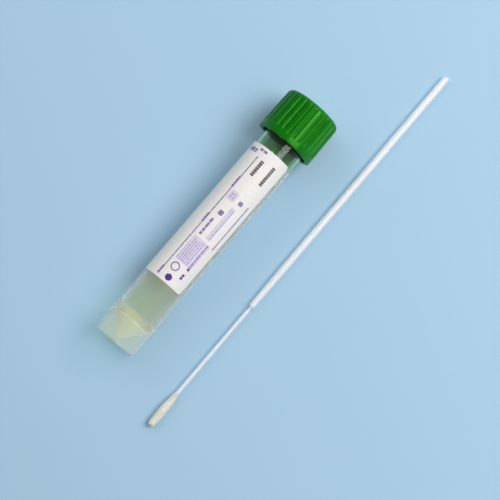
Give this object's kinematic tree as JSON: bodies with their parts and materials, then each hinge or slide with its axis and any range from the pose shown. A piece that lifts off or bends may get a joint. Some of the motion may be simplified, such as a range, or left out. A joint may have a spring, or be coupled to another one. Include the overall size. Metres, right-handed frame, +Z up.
{
  "type": "specimen swab tube set",
  "caption": "Self-standing transport tube with a conical bottom, screw cap, seal ring, wrap label and liquid medium, lying closed beside its flocked swab with a breakpoint.",
  "frame": {"origin": "middle of the whole set's box in plan, on the table that it lies on", "axes": "+X along the tube from its skirted foot towards its cap, parallel to the table; +Z up; the swab lies on the -Y side of the tube"},
  "size_m": [0.1523, 0.0381, 0.0211],
  "materials": {
    "clear_plastic": "clear injection-moulded polypropylene, glossy with a faint haze",
    "green_plastic": "opaque green injection-moulded polyethylene, satin gloss",
    "seal_rubber": "smooth white elastomer",
    "label_paper": null,
    "medium": "clear pale straw-coloured liquid",
    "shaft_plastic": "white moulded polystyrene, slightly translucent",
    "flock": "short upright nylon flock, off-white"
  },
  "bodies": {
    "tube_set": {"tube": "clear_plastic", "label": "label_paper", "transport_medium": "medium", "swab_shaft": "shaft_plastic", "swab_tip": "flock"},
    "seal": {"cap_seal": "seal_rubber"},
    "cap": {"cap": "green_plastic"}
  },
  "joints": [
    {"name": "cap_lift", "type": "slide", "parent": "tube_set", "child": "seal", "axis": [0.9995, 0, 0.0316], "range_m": [0, 0.018]},
    {"name": "cap_turn", "type": "hinge", "parent": "seal", "child": "cap", "pos_m": [0.0301, 0.00863, 0.01069], "axis": [0.9995, 0, 0.0316], "range_deg": [0, 1080]}
  ],
  "couplings": [
    {"joint": "cap_lift", "follows": "cap_turn", "m_per_rad": 0.00095493}
  ]
}
